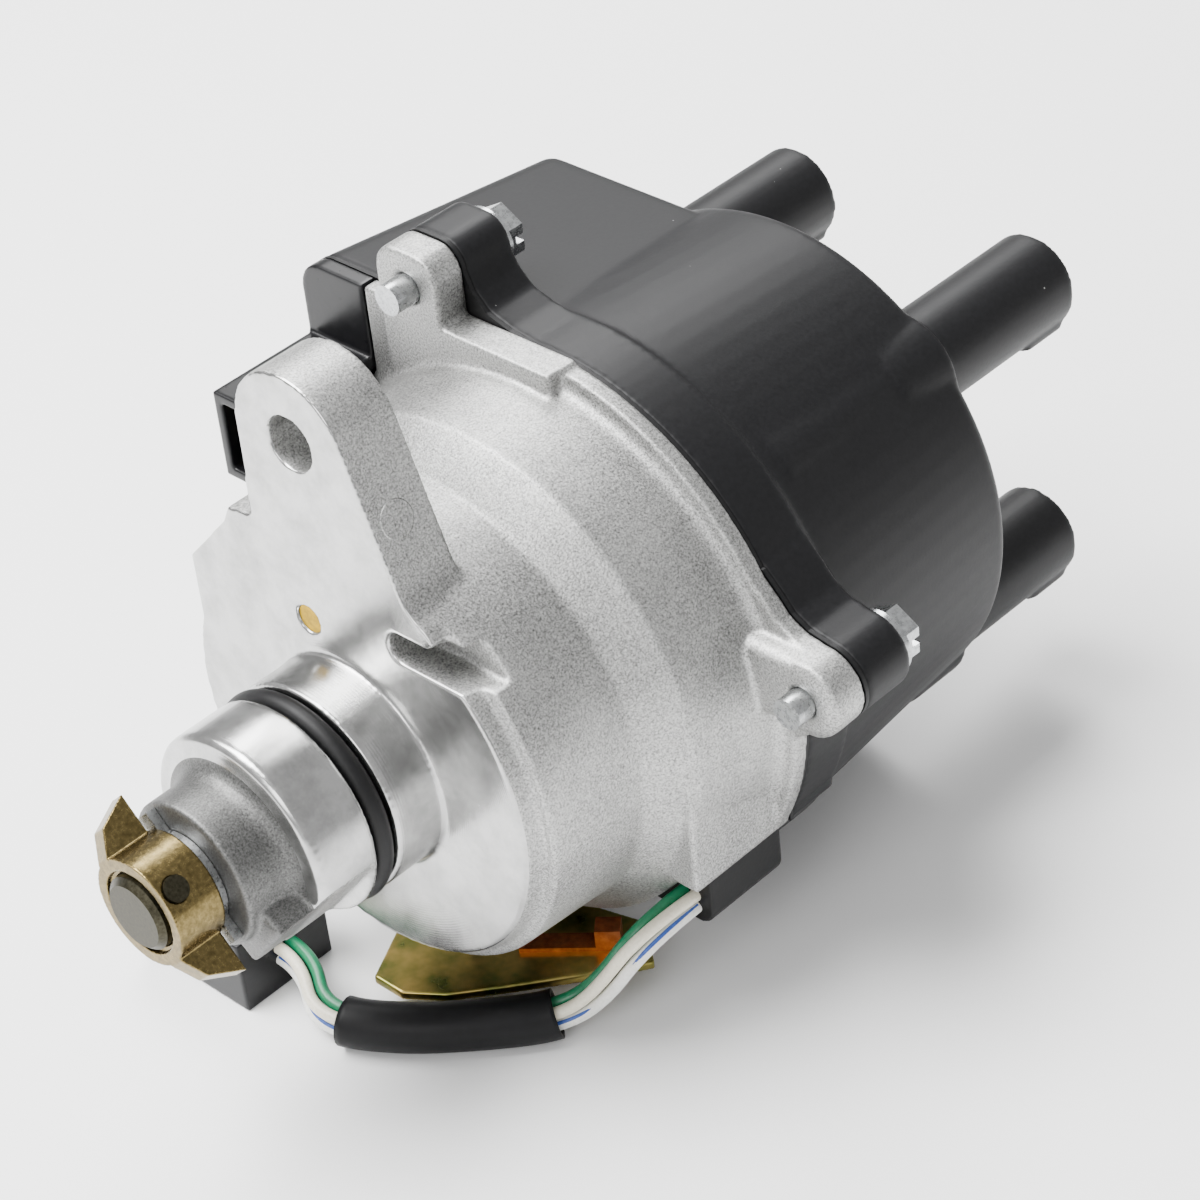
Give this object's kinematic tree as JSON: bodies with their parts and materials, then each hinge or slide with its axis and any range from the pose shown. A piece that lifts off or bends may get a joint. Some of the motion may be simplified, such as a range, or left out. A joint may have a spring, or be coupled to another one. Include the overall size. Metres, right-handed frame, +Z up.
{
  "type": "ignition distributor",
  "caption": "Ignition distributor with a spigot drive, adjusting lug, cap with plug-lead towers and coil box, and a short wire harness.",
  "frame": {"origin": "on the shaft's axis in the plane of the machined mounting face", "axes": "+X along the shaft towards the cap's towers, +Z up towards the adjusting lug"},
  "size_m": [0.1746, 0.1089, 0.1152],
  "materials": {
    "cast_aluminium": "as-cast and machined",
    "steel": "ground",
    "sintered_bronze": "bronze-coloured coating",
    "zinc_steel": "bright zinc",
    "yellow_zinc_steel": "yellow passivated zinc",
    "copper": "bare",
    "brass": "bare",
    "cap_plastic": "satin moulded",
    "connector_plastic": "moulded",
    "inner_plastic": "moulded",
    "plug_yellow": "moulded",
    "black_rubber": "moulded",
    "carbon": "pressed carbon",
    "magnetic_iron": "bare",
    "resin": "cast resin",
    "green_insulation": "extruded",
    "white_insulation": "extruded",
    "striped_insulation": "extruded, blue stripe",
    "black_insulation": "extruded"
  },
  "bodies": {
    "body": {"housing": "cast_aluminium", "witness_plug": "plug_yellow", "spigot_o_ring": "black_rubber", "lower_bush": "sintered_bronze", "oil_seal": "black_rubber", "bearing_outer_ring": "steel", "bearing_shields": "zinc_steel", "bearing_circlip": "steel", "pickup_plate": "zinc_steel", "plate_screws": "zinc_steel", "pickup_core": "magnetic_iron", "pickup_coil": "inner_plastic", "igniter_module": "inner_plastic", "igniter_screws": "zinc_steel", "dust_shield": "inner_plastic", "cap": "cap_plastic", "cap_electrodes": "brass", "cap_gasket": "black_rubber", "cap_screws": "zinc_steel", "ignition_coil": "resin", "coil_core": "magnetic_iron", "side_connector": "cap_plastic", "side_terminals": "brass", "wire_grommet": "black_rubber", "green_wire": "green_insulation", "white_wire": "white_insulation", "striped_wire": "striped_insulation", "black_wire": "black_insulation", "harness_sleeve": "black_rubber", "harness_connector": "connector_plastic", "connector_terminals": "brass", "connector_bracket": "yellow_zinc_steel", "bracket_screw": "zinc_steel", "bracket_clip": "copper"},
    "shaft": {"drive_shaft": "steel", "drive_coupling": "sintered_bronze", "coupling_pin": "steel", "thrust_washer": "zinc_steel", "bearing_inner_ring": "steel", "signal_rotor": "magnetic_iron", "rotor_pin": "steel", "rotor_arm": "cap_plastic", "rotor_blade": "brass", "rotor_screw": "zinc_steel"},
    "brush": {"carbon_brush": "carbon", "brush_spring": "steel"}
  },
  "joints": [
    {"name": "shaft_spin", "type": "hinge", "parent": "body", "child": "shaft", "pos_m": [0, 0, 0], "axis": [1, 0, 0], "continuous": true},
    {"name": "brush_slide", "type": "slide", "parent": "body", "child": "brush", "axis": [1, 0, 0], "range_m": [0, 0.0015], "stiffness_N_per_m": 200, "springref_m": -0.0015, "deforming": ["brush_spring"]}
  ]
}
